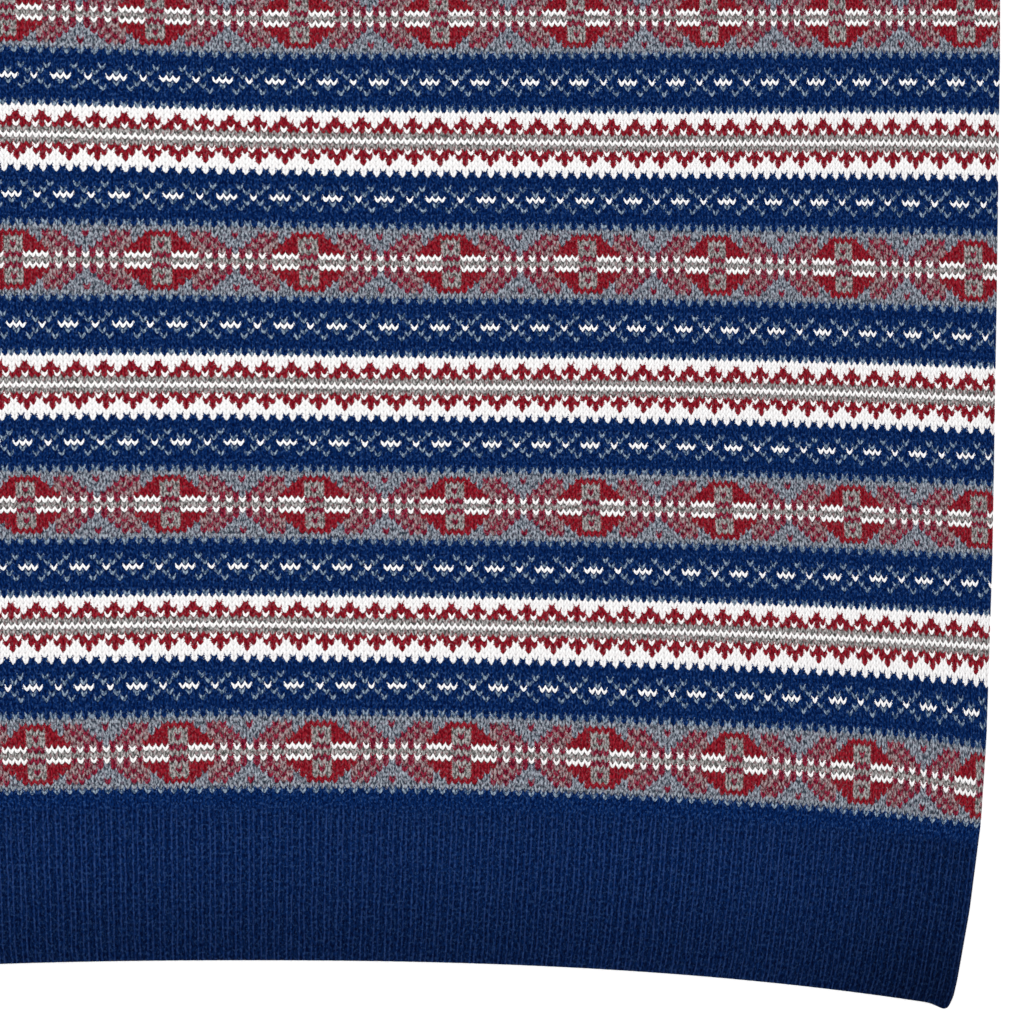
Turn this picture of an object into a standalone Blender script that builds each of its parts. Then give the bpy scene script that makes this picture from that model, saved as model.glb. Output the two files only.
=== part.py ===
"""A man's V-neck sweater vest in stranded wool, lying flat on its back panel, face up.

The pieces are drawn in cut coordinates: x from the centre line, y up from the cast-on edge, in metres.
lay() carries them to where the cloth lies: the sides narrow and droop towards the hem, and the vest
leans a little. Every piece is a wall of cloth, and the front layer lies on the back layer.
"""

import math
from collections import namedtuple

import bmesh
import bpy
from mathutils import Matrix, Vector

# Cloth
WALL = 0.0018
SEAM_GAP = 0.0003
RIB_PITCH = 0.00426  # one knit wale and one purl groove
RIB_GROOVE = 0.0007
RIB_PROUD = 0.0002  # how far a knit wale stands over the plain cloth
EDGE_ROUND = 0.0022  # a folded edge starts to turn down this far in
BLUNT = 0.15  # share of the wall left upright at a rounded edge

# The two layers, from the surface up, and the fold that joins them
BACK_TOP = WALL
FRONT_UNDER = BACK_TOP + SEAM_GAP
FOLD_HEIGHT = (BACK_TOP + FRONT_UNDER) / 2
FOLD_RADIUS = (WALL + SEAM_GAP) / 2  # of the middle of the wall
FOLD_REACH = FOLD_RADIUS + WALL / 2
FOLD_STEPS = 8

# Sizes of the cut
CHEST_HALF = 0.266
HEM_RIBS = 125
RIB_TOP = 0.0575
HEM_CORNER = 0.0035
UNDERARM = 0.405
NECK_HALF = 0.082
NECK_POINT = 0.665
SHOULDER_HALF = 0.178
SHOULDER_TIP = 0.634
V_POINT = 0.412
BACK_NECK = 0.645
NECKBAND = 0.025
ARMBAND = 0.022

NAVY = (0.012, 0.035, 0.115, 1.0)
HEATHER = (0.16, 0.145, 0.185, 1.0)

# How the laid cloth departs from its cut, by height: its half widths, and the droop of each side edge
Lie = namedtuple("Lie", "height right_half left_half right_droop left_droop")
LIES = (
    Lie(0.000, 0.2378, 0.2460, 0.0156, 0.0150),
    Lie(0.030, 0.2432, 0.2495, 0.0140, 0.0132),
    Lie(0.058, 0.2475, 0.2525, 0.0118, 0.0105),
    Lie(0.084, 0.2508, 0.2545, 0.0095, 0.0080),
    Lie(0.142, 0.2552, 0.2570, 0.0054, 0.0045),
    Lie(0.226, 0.2592, 0.2595, 0.0036, 0.0020),
    Lie(0.307, 0.2628, 0.2620, 0.0008, 0.0000),
    Lie(0.405, 0.2660, 0.2640, 0.0000, 0.0000),
    Lie(0.700, 0.2660, 0.2640, 0.0000, 0.0000),
)
DROOP_POWER = 2.2
WALE_SPREAD = 0.108  # wales lie this share wider apart at the centre
LEAN = 0.0305  # sideways drift of the centre line for each metre up
LEAN_START, LEAN_END = 0.057, 0.440

# Half a panel, row by row: from the centre line or the neck edge out to the side or armhole edge
Row = namedtuple("Row", "inner_x inner_y outer_x outer_y")
BODY_ROWS = (
    Row(0.000, RIB_TOP + SEAM_GAP, CHEST_HALF, RIB_TOP + SEAM_GAP),
    Row(0.000, 0.084, CHEST_HALF, 0.084),
    Row(0.000, 0.142, CHEST_HALF, 0.142),
    Row(0.000, 0.226, CHEST_HALF, 0.226),
    Row(0.000, 0.307, CHEST_HALF, 0.307),
    Row(0.000, V_POINT, CHEST_HALF, UNDERARM),
)
FRONT_YOKE = (
    Row(0.000, V_POINT, CHEST_HALF, UNDERARM),
    Row(0.006, 0.424, 0.2460, 0.4055),
    Row(0.013, 0.440, 0.2260, 0.4130),
    Row(0.022, 0.462, 0.2080, 0.4300),
    Row(0.033, 0.490, 0.1940, 0.4560),
    Row(0.046, 0.526, 0.1830, 0.4960),
    Row(0.059, 0.566, 0.1770, 0.5420),
    Row(0.071, 0.612, 0.1760, 0.5900),
    Row(NECK_HALF, NECK_POINT, SHOULDER_HALF, SHOULDER_TIP),
)
BACK_YOKE = tuple(
    row._replace(inner_x=0.0, inner_y=V_POINT + (BACK_NECK - V_POINT) * number / 8)
    for number, row in enumerate(FRONT_YOKE)
)
ROWS_BETWEEN = 2  # grid rows for each step of these tables
YOKE_STEP = 0.045  # about one step of the yoke's rows, at the shoulder

TO_NECK = Vector((NECK_HALF - SHOULDER_HALF, NECK_POINT - SHOULDER_TIP)).normalized()
SHOULDER_OUT = Vector((TO_NECK.y, -TO_NECK.x))  # up and off the edge of the shoulder fold
SHOULDER_BLEND = 0.04  # the ribs of a band turn into line with the shoulder over this length

# A line across a band, from the edge that is sewn to a panel to the free edge. turn is the slope of
# the cloth's face round a fold: 90 is up, on the front layer, and -90 is down, on the back layer
Station = namedtuple("Station", "sewn free turn out mitred")


def smooth(value):
    """0 below 0, 1 above 1, and an even ramp between."""
    share = min(max(value, 0.0), 1.0)
    return share * share * (3 - 2 * share)


def row_at(rows, at):
    """The row at a fractional row number, on a smooth curve through the table."""
    last = len(rows) - 1
    k = min(int(at), last - 1)
    t = at - k
    before, here, there, after = (rows[min(max(k + step, 0), last)] for step in (-1, 0, 1, 2))
    return Row(
        *(
            b + 0.5 * t * (c - a + t * (2 * a - 5 * b + 4 * c - d + t * (3 * (b - c) + d - a)))
            for a, b, c, d in zip(before, here, there, after)
        )
    )


def lie_at(height):
    """How the cloth lies at a height, on straight runs between the rows of LIES."""
    k = next(k for k in range(1, len(LIES)) if height <= LIES[k].height)
    low, high = LIES[k - 1], LIES[k]
    share = (height - low.height) / (high.height - low.height)
    return Lie(*(a + (b - a) * share for a, b in zip(low, high)))


def lay(x, y):
    """Where a point of the cut lies on the surface."""
    lie = lie_at(y)
    half, droop = (lie.right_half, lie.right_droop) if x >= 0 else (lie.left_half, lie.left_droop)
    across = abs(x) / CHEST_HALF
    spread = half * across * (1 + WALE_SPREAD * (1 - across))
    drift = LEAN * (min(max(y, LEAN_START), LEAN_END) - LEAN_START)
    return Vector((math.copysign(spread, x) - drift, y - droop * across**DROOP_POWER))


def rounded(distance):
    """The share of the wall's thickness at a distance in from a folded edge."""
    inward = min(distance / EDGE_ROUND, 1.0)
    return max(math.sqrt(1 - (1 - inward) ** 2), BLUNT)


def back_neck(x):
    """The height of the back neck edge: flat at the centre, upright at the neck point."""
    return BACK_NECK + (NECK_POINT - BACK_NECK) * (1 - math.sqrt(1 - (x / NECK_HALF) ** 3))


def skin(bm, columns, closed=False):
    """Quads between neighbouring columns of points. Returns the columns' vertices."""
    columns = [[bm.verts.new(point) for point in column] for column in columns]
    for left, right in zip(columns, columns[1:] + columns[:closed]):
        for k in range(len(left) - 1):
            bm.faces.new((left[k], right[k], right[k + 1], left[k + 1]))
    return columns


def rim(bm, outer, inner, step=1, skipped=()):
    """A wall's edge: a face for each stretch of the inner edge and its `step` stretches of the outer."""
    for k in range(len(inner) - 1):
        if k not in skipped:
            bm.faces.new((*outer[k * step : (k + 1) * step + 1], inner[k + 1], inner[k]))


def finish(bm, name, material):
    """The closed mesh object of the walls drawn so far."""
    bmesh.ops.remove_doubles(bm, verts=bm.verts, dist=1e-6)
    bmesh.ops.recalc_face_normals(bm, faces=bm.faces)
    mesh = bpy.data.meshes.new(name)
    bm.to_mesh(mesh)
    bm.free()
    mesh.materials.append(material)
    item = bpy.data.objects.new(name, mesh)
    bpy.context.scene.collection.objects.link(item)


def yarn(name, colour):
    """Woollen yarn of one colour."""
    material = bpy.data.materials.new(name)
    material.use_nodes = True
    principled = material.node_tree.nodes["Principled BSDF"]
    principled.inputs["Base Color"].default_value = colour
    principled.inputs["Roughness"].default_value = 0.9
    principled.inputs["Metallic"].default_value = 0.0
    return material


# Front and back panels


def panel_rows(yoke):
    """The rows of half a panel, each with its distance below the shoulder fold."""
    body_steps, yoke_steps = len(BODY_ROWS) - 1, len(yoke) - 1
    marks = [k / ROWS_BETWEEN for k in range(yoke_steps * ROWS_BETWEEN)]
    marks += [yoke_steps - EDGE_ROUND / YOKE_STEP * part for part in (1.0, 0.4, 0.0)]
    body = [row_at(BODY_ROWS, k / ROWS_BETWEEN) for k in range(body_steps * ROWS_BETWEEN)]
    return [(row, YOKE_STEP) for row in body] + [
        (row_at(yoke, at), (yoke_steps - at) * YOKE_STEP) for at in marks
    ]


def row_points(row, shares, bend):
    """Points along half a row, with more where the cloth turns down at its outer end."""
    start = Vector((row.inner_x, row.inner_y))
    run = Vector((row.outer_x, row.outer_y)) - start
    turn = [1 - EDGE_ROUND * part / run.length for part in (1.0, 0.45, 0.12, 0.0)]
    for share in [*shares, *turn]:
        point = start + run * share
        point.y += bend(point.x, row)
        yield point, run.length * (1 - share)


def neck_bend(x, row):
    """How far the back's rows depart from straight, more and more up to the back neck edge."""
    rise = (row.inner_y - V_POINT) / (BACK_NECK - V_POINT)
    if rise <= 0:
        return 0.0
    slope = (SHOULDER_TIP - BACK_NECK) / SHOULDER_HALF
    if x < NECK_HALF:
        top = back_neck(x)
    else:
        top = NECK_POINT - (x - NECK_HALF) * TO_NECK.y / -TO_NECK.x
    return (top - BACK_NECK - slope * x) * rise**3


def panel(name, material, yoke, shares, under, face, bend=lambda x, row: 0.0):
    """A front or back: its plain inside is flat at `under`, and its face is a wall away from that."""
    bm = bmesh.new()
    rows = panel_rows(yoke)
    for side in (1, -1):
        outer, inner = [], []
        for row, to_shoulder in rows:
            outer.append([])
            inner.append([])
            for point, to_side in row_points(row, shares, bend):
                on_seam = to_shoulder == 0 and point.x < NECK_HALF + SEAM_GAP
                fold = EDGE_ROUND if on_seam else to_shoulder
                if row.outer_y <= UNDERARM:
                    fold = min(fold, to_side)
                plan = lay(side * point.x, point.y)
                outer[-1].append((*plan, under + face * WALL * rounded(fold)))
                inner[-1].append((*plan, under))
        above, below = skin(bm, outer), skin(bm, inner)
        rim(bm, above[0], below[0])
        rim(bm, above[-1], below[-1])
        rim(bm, [line[-1] for line in above], [line[-1] for line in below])
        joined = [k for k in range(len(rows) - 1) if rows[k + 1][0].inner_x == 0]
        rim(bm, [line[0] for line in above], [line[0] for line in below], skipped=joined)
    finish(bm, name, material)


# Hem ribs


def hem(name, material, under, face, ribbed):
    """The deep 1x1 rib below a panel, cast on at its lower edge."""
    bm = bmesh.new()
    step = 3 if ribbed else 1
    profile = ((0.0, 0.0), (0.28, 1.0), (0.72, 1.0)) if ribbed else ((0.0, 1.0),)
    marks = [(rib + at, wale) for rib in range(HEM_RIBS) for at, wale in profile]
    marks.append((HEM_RIBS, profile[0][1]))
    outer, inner = [], []
    for number, (mark, wale) in enumerate(marks):
        x = CHEST_HALF * (2 * mark / HEM_RIBS - 1)
        corner = max((abs(x) - CHEST_HALF) / HEM_CORNER + 1, 0.0)
        cast_on = HEM_CORNER * (1 - math.sqrt(1 - corner**2))
        relief = RIB_PROUD - RIB_GROOVE * (1 - wale) if ribbed else 0.0
        outer.append([])
        for rise, thickness in ((0.0, 0.45), (0.0012, 1.0), (0.028, 1.0), (RIB_TOP, 1.0)):
            plan = lay(x, max(rise, rise + cast_on * (1 - rise / RIB_TOP)))
            depth = (WALL + relief) * min(thickness, rounded(CHEST_HALF - abs(x)))
            outer[-1].append((*plan, under + face * depth))
        if number % step == 0:
            inner.append([(*point[:2], under) for point in outer[-1]])
    above, below = skin(bm, outer), skin(bm, inner)
    rim(bm, above[0], below[0])
    rim(bm, above[-1], below[-1])
    rim(bm, [line[0] for line in above], [line[0] for line in below], step)
    rim(bm, [line[-1] for line in above], [line[-1] for line in below], step)
    finish(bm, name, material)


# Neckband and armhole bands


def points_along(points, count, start=0.0, end=0.0):
    """Evenly spaced points on a run of straight chords, and its smoothed direction at each."""
    reach = [0.0]
    for a, b in zip(points, points[1:]):
        reach.append(reach[-1] + (b - a).length)

    def at(distance):
        distance = min(max(distance, 0.0), reach[-1])
        k = next(k for k in range(1, len(reach)) if distance <= reach[k])
        return points[k - 1].lerp(points[k], (distance - reach[k - 1]) / (reach[k] - reach[k - 1]))

    length = reach[-1] - start - end
    for k in range(count + 1):
        distance = start + length * k / count
        yield at(distance), (at(distance + 0.008) - at(distance - 0.008)).normalized()


def ribs_in(length):
    return 2 * round(length / RIB_PITCH)


def length_of(points):
    return sum((b - a).length for a, b in zip(points, points[1:]))


def fold_between(last, out):
    """Stations round a fold, from the front layer to the back layer, in line with `last`."""
    for k in range(1, FOLD_STEPS):
        yield last._replace(turn=90 - 180 * k / FOLD_STEPS, out=out)


def band(name, material, stations):
    """A ribbed ring of cloth, through its stations. The ribs run across it on the front layer."""
    bm = bmesh.new()
    outer, inner = [], []
    for number, station in enumerate(stations):
        turn = math.radians(station.turn)
        normal = Vector((*(station.out * math.cos(turn)), math.sin(turn)))
        wale = RIB_PROUD if number % 2 else RIB_PROUD - RIB_GROOVE
        relief = wale * max(math.sin(turn), 0.0)
        sewn, free = lay(*station.sewn), lay(*station.free)
        lines = ([], [])
        for share, thickness in ((0.0, 1.0), (0.94, 1.0), (1.0, 1.0 if station.mitred else 0.5)):
            plan = sewn.lerp(free, share) + station.out * math.cos(turn) * FOLD_RADIUS
            middle = Vector((*plan, FOLD_HEIGHT + math.sin(turn) * FOLD_RADIUS))
            lines[0].append(middle + normal * ((WALL + relief) * thickness - WALL / 2))
            lines[1].append(middle - normal * WALL / 2)
        outer.append(lines[0])
        if number % 2 == 0:
            inner.append(lines[1])
    above, below = skin(bm, outer, closed=True), skin(bm, inner, closed=True)
    above.append(above[0])
    below.append(below[0])
    stations = [*stations, stations[0]]
    joined = [
        k for k in range(len(below) - 1) if stations[2 * k].mitred and stations[2 * k + 2].mitred
    ]
    rim(bm, [line[0] for line in above], [line[0] for line in below], 2)
    rim(bm, [line[-1] for line in above], [line[-1] for line in below], 2, joined)
    finish(bm, name, material)


def neckband_half():
    """Stations from the point of the V, up its right edge, over the shoulder and to the centre back."""
    up = Vector((0.0, 1.0))
    v_edge = [Vector((row.inner_x, row.inner_y)) for row, _ in panel_rows(FRONT_YOKE)]
    v_edge = v_edge[(len(BODY_ROWS) - 1) * ROWS_BETWEEN :]
    length = length_of(v_edge)
    count = ribs_in(length)
    stations = []
    for k, (point, ahead) in enumerate(points_along(v_edge, count, end=FOLD_REACH)):
        inward = Vector((-ahead.y, ahead.x))
        to_fold = length * (1 - k / count)
        inward = inward.lerp(TO_NECK, smooth(1 - to_fold / SHOULDER_BLEND)).normalized()
        sewn = point + inward * SEAM_GAP
        stations.append(Station(sewn, sewn + inward * NECKBAND, 90, up, False))
    # Up to the mitre's top the ribs of the two sides meet on the centre line
    mitre = next(k for k in range(0, count, 2) if stations[k].free.x > 0)
    stations[0].sewn.y += SEAM_GAP
    low, top = stations[0].sewn.y, stations[mitre].free.y
    for k in range(mitre + 1):
        sewn = stations[k].sewn
        sewn.x = max(sewn.x, 0.0)
        stations[k] = Station(sewn, Vector((0.0, low + (top - low) * k / mitre)), 90, up, True)
    stations += fold_between(stations[-1], SHOULDER_OUT)
    at_fold = stations[-1]

    edge = [Vector((x, back_neck(x))) for x in back_neck_columns()]
    centre = Vector((0.0, BACK_NECK + NECKBAND))
    count = ribs_in(length_of(edge))
    for k, (point, _) in enumerate(points_along(edge, count, start=FOLD_REACH)):
        share = k / count
        free_y = centre.y + (at_fold.free.y - centre.y) * (1 - share) ** 2
        free = Vector((at_fold.free.x * (1 - share), free_y))
        sewn = point + (free - point).normalized() * SEAM_GAP
        stations.append(Station(sewn, free, -90, up, False))
    return stations


def back_neck_columns():
    """The back panel's columns along its neck edge, from the neck point to the centre."""
    return [NECK_HALF * math.sin(math.radians(90 - 10 * k)) for k in range(10)]


def mirrored(station):
    flip = Vector((-1.0, 1.0))
    return station._replace(
        sewn=station.sewn * flip, free=station.free * flip, out=station.out * flip
    )


def neckband(material):
    right = neckband_half()
    band("neckband", material, right + [mirrored(station) for station in right[-2:0:-1]])


def armhole_band(name, material, side):
    """A ring round one armhole, folded over at the shoulder and at the top of the side seam."""
    edge = [Vector((row.outer_x, row.outer_y)) for row, _ in panel_rows(FRONT_YOKE)]
    edge = edge[(len(BODY_ROWS) - 1) * ROWS_BETWEEN :][::-1]
    length = length_of(edge)
    count = ribs_in(length)
    front = []
    for k, (point, ahead) in enumerate(
        points_along(edge, count, start=FOLD_REACH, end=FOLD_REACH)
    ):
        outward = Vector((-ahead.y, ahead.x))
        from_shoulder = length * k / count
        outward = outward.lerp(-TO_NECK, smooth(1 - from_shoulder / SHOULDER_BLEND)).normalized()
        sewn = point + outward * SEAM_GAP
        front.append(Station(sewn, sewn + outward * ARMBAND, 90, Vector((1.0, 0.0)), False))
    stations = front + list(fold_between(front[-1], Vector((1.0, 0.0))))
    stations += [station._replace(turn=-90) for station in front[::-1]]
    stations += list(fold_between(front[0], SHOULDER_OUT))[::-1]
    if side < 0:
        stations = [mirrored(station) for station in stations]
    band(name, material, stations)


def centre_on_origin():
    """Moves every piece so that the origin is below the middle of the whole vest's box."""
    items = [item for item in bpy.data.objects if item.type == "MESH"]
    points = [vertex.co for item in items for vertex in item.data.vertices]
    low = Vector([min(point[axis] for point in points) for axis in range(3)])
    high = Vector([max(point[axis] for point in points) for axis in range(3)])
    middle = (low + high) / 2
    for item in items:
        item.data.transform(Matrix.Translation((-middle.x, -middle.y, 0.0)))


for leftover in list(bpy.data.objects):
    bpy.data.objects.remove(leftover)

patterned = yarn("patterned_knit", HEATHER)
ribbing = yarn("navy_rib", NAVY)
back_shares = [x / SHOULDER_HALF for x in back_neck_columns()[::-1]] + [0.65, 0.85]
panel("front_body", patterned, FRONT_YOKE, (0.0, 0.2, 0.4, 0.6, 0.8), FRONT_UNDER, 1)
panel("back_body", patterned, BACK_YOKE, back_shares, BACK_TOP, -1, neck_bend)
hem("front_hem_rib", ribbing, FRONT_UNDER, 1, ribbed=True)
hem("back_hem_rib", ribbing, BACK_TOP, -1, ribbed=False)
neckband(ribbing)
armhole_band("armhole_band_left", ribbing, -1)
armhole_band("armhole_band_right", ribbing, 1)
centre_on_origin()
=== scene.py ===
"""A stranded V-neck sweater vest, laid flat and face up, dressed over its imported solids."""

import math
from collections import namedtuple

import bmesh
import bpy
import numpy as np
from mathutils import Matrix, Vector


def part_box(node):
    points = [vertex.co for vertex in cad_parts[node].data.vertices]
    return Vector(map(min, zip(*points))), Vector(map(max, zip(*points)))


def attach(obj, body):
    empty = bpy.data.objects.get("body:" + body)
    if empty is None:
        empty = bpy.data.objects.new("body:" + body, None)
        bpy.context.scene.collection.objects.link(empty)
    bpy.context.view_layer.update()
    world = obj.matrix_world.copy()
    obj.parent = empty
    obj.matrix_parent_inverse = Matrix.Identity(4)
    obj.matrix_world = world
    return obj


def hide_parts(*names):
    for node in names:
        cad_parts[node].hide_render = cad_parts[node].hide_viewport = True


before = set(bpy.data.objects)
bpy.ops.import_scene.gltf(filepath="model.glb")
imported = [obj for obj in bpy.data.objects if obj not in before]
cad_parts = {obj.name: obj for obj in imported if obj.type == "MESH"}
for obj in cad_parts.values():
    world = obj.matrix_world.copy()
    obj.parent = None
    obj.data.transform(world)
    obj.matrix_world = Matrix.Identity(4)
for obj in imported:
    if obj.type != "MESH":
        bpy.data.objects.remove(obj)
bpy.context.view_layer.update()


# ---- Front panel ----------------------------------------------------------------------------------
# The front is one piece of stranded jersey in fine wool, knitted up from the rib in bands of navy,
# white, crimson and heather grey, with a V cut down to the level of the armholes. It is linked to
# the back at the shoulders and sides, and lies on the back with its sides rolled under.

WALL = 0.0018
FRONT_UNDER = 0.0021
BACK_TOP = 0.0018
FOLD_HEIGHT = (FRONT_UNDER + BACK_TOP) / 2
FOLD_RADIUS = (WALL + FRONT_UNDER - BACK_TOP) / 2  # of the middle of the cloth, round a fold
FOLD_REACH = FOLD_RADIUS + WALL / 2

CHEST_HALF = 0.266
STITCHES_HALF = 125
RIB_TOP = 0.0539
PANEL_FOOT = 0.0578  # where the solid panels start
UNDERARM = 0.405
V_POINT = 0.412
NECK_HALF = 0.082
NECK_POINT = 0.665
SHOULDER_HALF = 0.178
SHOULDER_TIP = 0.634
# Rows of stitches, counted from the foot of the pattern, and how high up the cut they lie
ROW_NUMBERS = (-100, 0, 4, 30, 46, 65, 77, 92, 138, 400)
ROW_HEIGHTS = (-0.1236, 0.0564, 0.0634, 0.1123, 0.1410, 0.1742, 0.1955, 0.2232, 0.3060, 0.7750)
# The knitting lies unevenly: how many stitches its wales have strayed out to the right, and how many
# rows its rows have sunk, by height and by the share of the way out to the right side
STRAY_ACROSS = (-0.20, -0.12, 0.00, 0.25, 0.45, 0.62, 0.80, 0.89, 0.97)
STRAY_HEIGHTS = (0.0690, 0.0940, 0.1535, 0.2050, 0.2360, 0.3200)
STRAYED = (
    (0.0, -0.3, -0.2, -0.45, -1.40, -2.45, -3.30, -3.50, -4.10),
    (0.0, -0.3, -0.2, -0.30, -0.90, -1.70, -2.40, -2.80, -2.80),
    (-0.1, -0.4, -0.2, 0.15, 0.25, 0.00, -0.30, -0.65, -1.40),
    (0.3, -0.2, -0.2, -0.05, 0.40, 0.95, 1.05, 1.20, 0.00),
    (0.4, -0.2, -0.3, 0.00, 0.40, 1.15, 1.55, 1.40, 0.20),
    (0.0, -0.6, -0.1, 1.20, 2.00, 2.40, 2.90, 2.80, 2.10),
)
SUNK_ACROSS = (-0.20, -0.05, 0.20, 0.50, 0.87, 0.98)
SUNK_HEIGHTS = (0.070, 0.112, 0.174, 0.237, 0.278, 0.311)
SUNK = (
    (0.28, -0.10, -0.45, 0.10, -0.26, 0.80),
    (-0.10, -0.28, 0.00, 0.10, -0.15, -0.15),
    (-0.28, -0.28, 0.00, -0.10, 0.00, 0.00),
    (-0.55, -0.37, 0.20, 0.00, 0.00, 0.00),
    (-0.30, -0.28, 0.10, 0.37, -0.28, -0.28),
    (0.00, 0.00, 0.00, -0.28, -0.55, -0.55),
)

# How the laid cloth departs from its cut, by height: its half widths, and the droop of each side edge
Lie = namedtuple("Lie", "height right_half left_half right_droop left_droop")
LIES = np.array(
    (
        Lie(0.000, 0.2384, 0.2450, 0.0156, 0.0150),
        Lie(0.003, 0.2395, 0.2460, 0.0154, 0.0148),
        Lie(0.008, 0.2407, 0.2469, 0.0152, 0.0145),
        Lie(0.030, 0.2448, 0.2495, 0.0140, 0.0132),
        Lie(0.058, 0.2487, 0.2525, 0.0118, 0.0105),
        Lie(0.084, 0.2514, 0.2545, 0.0095, 0.0080),
        Lie(0.142, 0.2552, 0.2570, 0.0054, 0.0045),
        Lie(0.226, 0.2592, 0.2595, 0.0036, 0.0020),
        Lie(0.307, 0.2628, 0.2620, 0.0008, 0.0000),
        Lie(0.405, 0.2660, 0.2640, 0.0000, 0.0000),
        Lie(0.700, 0.2660, 0.2640, 0.0000, 0.0000),
    )
)
DROOP_POWER = 2.2
WALE_SPREAD = 0.108  # how much wider the wales lie at the centre than at the sides
LEAN = 0.0305  # how far the wales lean to the left, for each unit that they climb
LEAN_START, LEAN_END = 0.057, 0.440
LEFT_RISE = 1.5  # rows that the upper part of the left side lies higher
WAVE_HEIGHT = 0.0003

# Half a panel, row by row: from the centre line or neck edge out to the side or armhole edge
Row = namedtuple("Row", "inner_x inner_y outer_x outer_y")
BODY_ROWS = (
    Row(0.000, RIB_TOP, CHEST_HALF, RIB_TOP),
    Row(0.000, 0.142, CHEST_HALF, 0.142),
    Row(0.000, 0.226, CHEST_HALF, 0.226),
    Row(0.000, 0.307, CHEST_HALF, 0.307),
    Row(0.000, V_POINT, CHEST_HALF, UNDERARM),
)
FRONT_YOKE = (
    Row(0.000, V_POINT, CHEST_HALF, UNDERARM),
    Row(0.006, 0.424, 0.2460, 0.4055),
    Row(0.013, 0.440, 0.2260, 0.4130),
    Row(0.022, 0.462, 0.2080, 0.4300),
    Row(0.033, 0.490, 0.1940, 0.4560),
    Row(0.046, 0.526, 0.1830, 0.4960),
    Row(0.059, 0.566, 0.1770, 0.5420),
    Row(0.071, 0.612, 0.1760, 0.5900),
    Row(NECK_HALF, NECK_POINT, SHOULDER_HALF, SHOULDER_TIP),
)
YOKE_STEP = 0.049  # about the depth of its last step
BODY_LINES, YOKE_LINES = 18, 8  # lines of the mesh to a row of each table
BEFORE_TURN = 0.06  # of the yoke's last step, left free for the lines of the fold
TURN = np.cos(np.radians((90, 72, 54, 36, 18, 0)))  # how far out the cloth is, round a fold
TO_NECK = np.array((NECK_HALF - SHOULDER_HALF, NECK_POINT - SHOULDER_TIP))
TO_NECK /= np.linalg.norm(TO_NECK)
SHOULDER_OUT = np.array((TO_NECK[1], -TO_NECK[0]))


def on_curve(table, marks):
    """The rows of a smooth curve through a table, at fractional row numbers."""
    table = np.array(table)
    k = np.minimum(np.floor(marks).astype(int), len(table) - 2)
    t = (marks - k)[:, None]
    before, here = table[np.maximum(k - 1, 0)], table[k]
    there, after = table[k + 1], table[np.minimum(k + 2, len(table) - 1)]
    bend = 2 * before - 5 * here + 4 * there - after + t * (3 * (here - there) + after - before)
    return here + 0.5 * t * (there - before + t * bend)


def lay(points):
    """Where points of the cut lie on the surface, as two columns x and y."""
    points = np.asarray(points, float)
    x, y = points[..., 0], points[..., 1]
    heights, right_half, left_half, right_droop, left_droop = LIES.T
    half = np.where(x >= 0, np.interp(y, heights, right_half), np.interp(y, heights, left_half))
    droop = np.where(x >= 0, np.interp(y, heights, right_droop), np.interp(y, heights, left_droop))
    across = np.abs(x) / CHEST_HALF
    spread = half * across * (1 + WALE_SPREAD * (1 - across))
    drift = LEAN * (np.clip(y, LEAN_START, LEAN_END) - LEAN_START)
    return np.stack([np.sign(x) * spread - drift, y - droop * across**DROOP_POWER], -1)


def hem_centre():
    """The middle of the cast-on edge in the frame: the underarm and the side of the rib show where."""
    side = lay([(CHEST_HALF, y) for y in np.linspace(PANEL_FOOT, UNDERARM, 400)])
    low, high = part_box("front_body")
    return np.array([high.x - side[:, 0].max(), low.y - side[:, 1].min()])


HEM_CENTRE = hem_centre()


def smooth(value, low=0.0, high=1.0):
    """0 at low, 1 at high, and an even ramp between."""
    share = np.clip((value - low) / (high - low), 0, 1)
    return share * share * (3 - 2 * share)


def lift(cut):
    """Soft waves that stand the laid front a little off the back, none at its edges."""
    x, y = cut[..., 0], cut[..., 1]
    inside = smooth(CHEST_HALF - np.abs(x), 0.004, 0.05) * smooth(y, RIB_TOP, 0.13)
    wave = np.sin(23 * x + 9 * y) * np.sin(17 * y - 6 * x + 1.0) + 0.5 * np.sin(41 * x - 27 * y)
    return WAVE_HEIGHT * (1.2 + wave) * inside * smooth(V_POINT - y, 0.0, 0.1)


def between(table, heights, shares, y, share):
    """The value of a table at heights and shares of the way across, on straight runs between them."""
    level = np.interp(y, heights, range(len(heights)))
    return sum(
        np.interp(share, shares, line) * np.maximum(1 - np.abs(level - k), 0)
        for k, line in enumerate(table)
    )


def stitches_at(cut, ribbed=0.0):
    """The stitch numbers of points of the cut: across from the centre line and up from the rib, and
    how far the cloth there is drawn into ribs."""
    x, y = cut[..., 0], cut[..., 1]
    share = x / CHEST_HALF
    across = share * STITCHES_HALF + between(STRAYED, STRAY_HEIGHTS, STRAY_ACROSS, y, share)
    up = np.interp(y, ROW_HEIGHTS, ROW_NUMBERS)
    sunk = between(SUNK, SUNK_HEIGHTS, SUNK_ACROSS, y, share)
    risen = LEFT_RISE * smooth(y, 0.226, 0.307) * smooth(-share, -0.11, 0.34)
    up = up + (sunk - risen) * smooth(y, RIB_TOP, 0.066)
    return np.stack([across, up, np.broadcast_to(ribbed, up.shape)], -1)


def rounded(inward, reach):
    """The share of its height that cloth has at a distance in from a fold or a finished edge."""
    return np.sqrt(1 - (1 - np.clip(inward / reach, 0, 1)) ** 2)


def raised(plan, height):
    return np.concatenate([plan, np.broadcast_to(height, plan.shape[:-1])[..., None]], -1)


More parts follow.
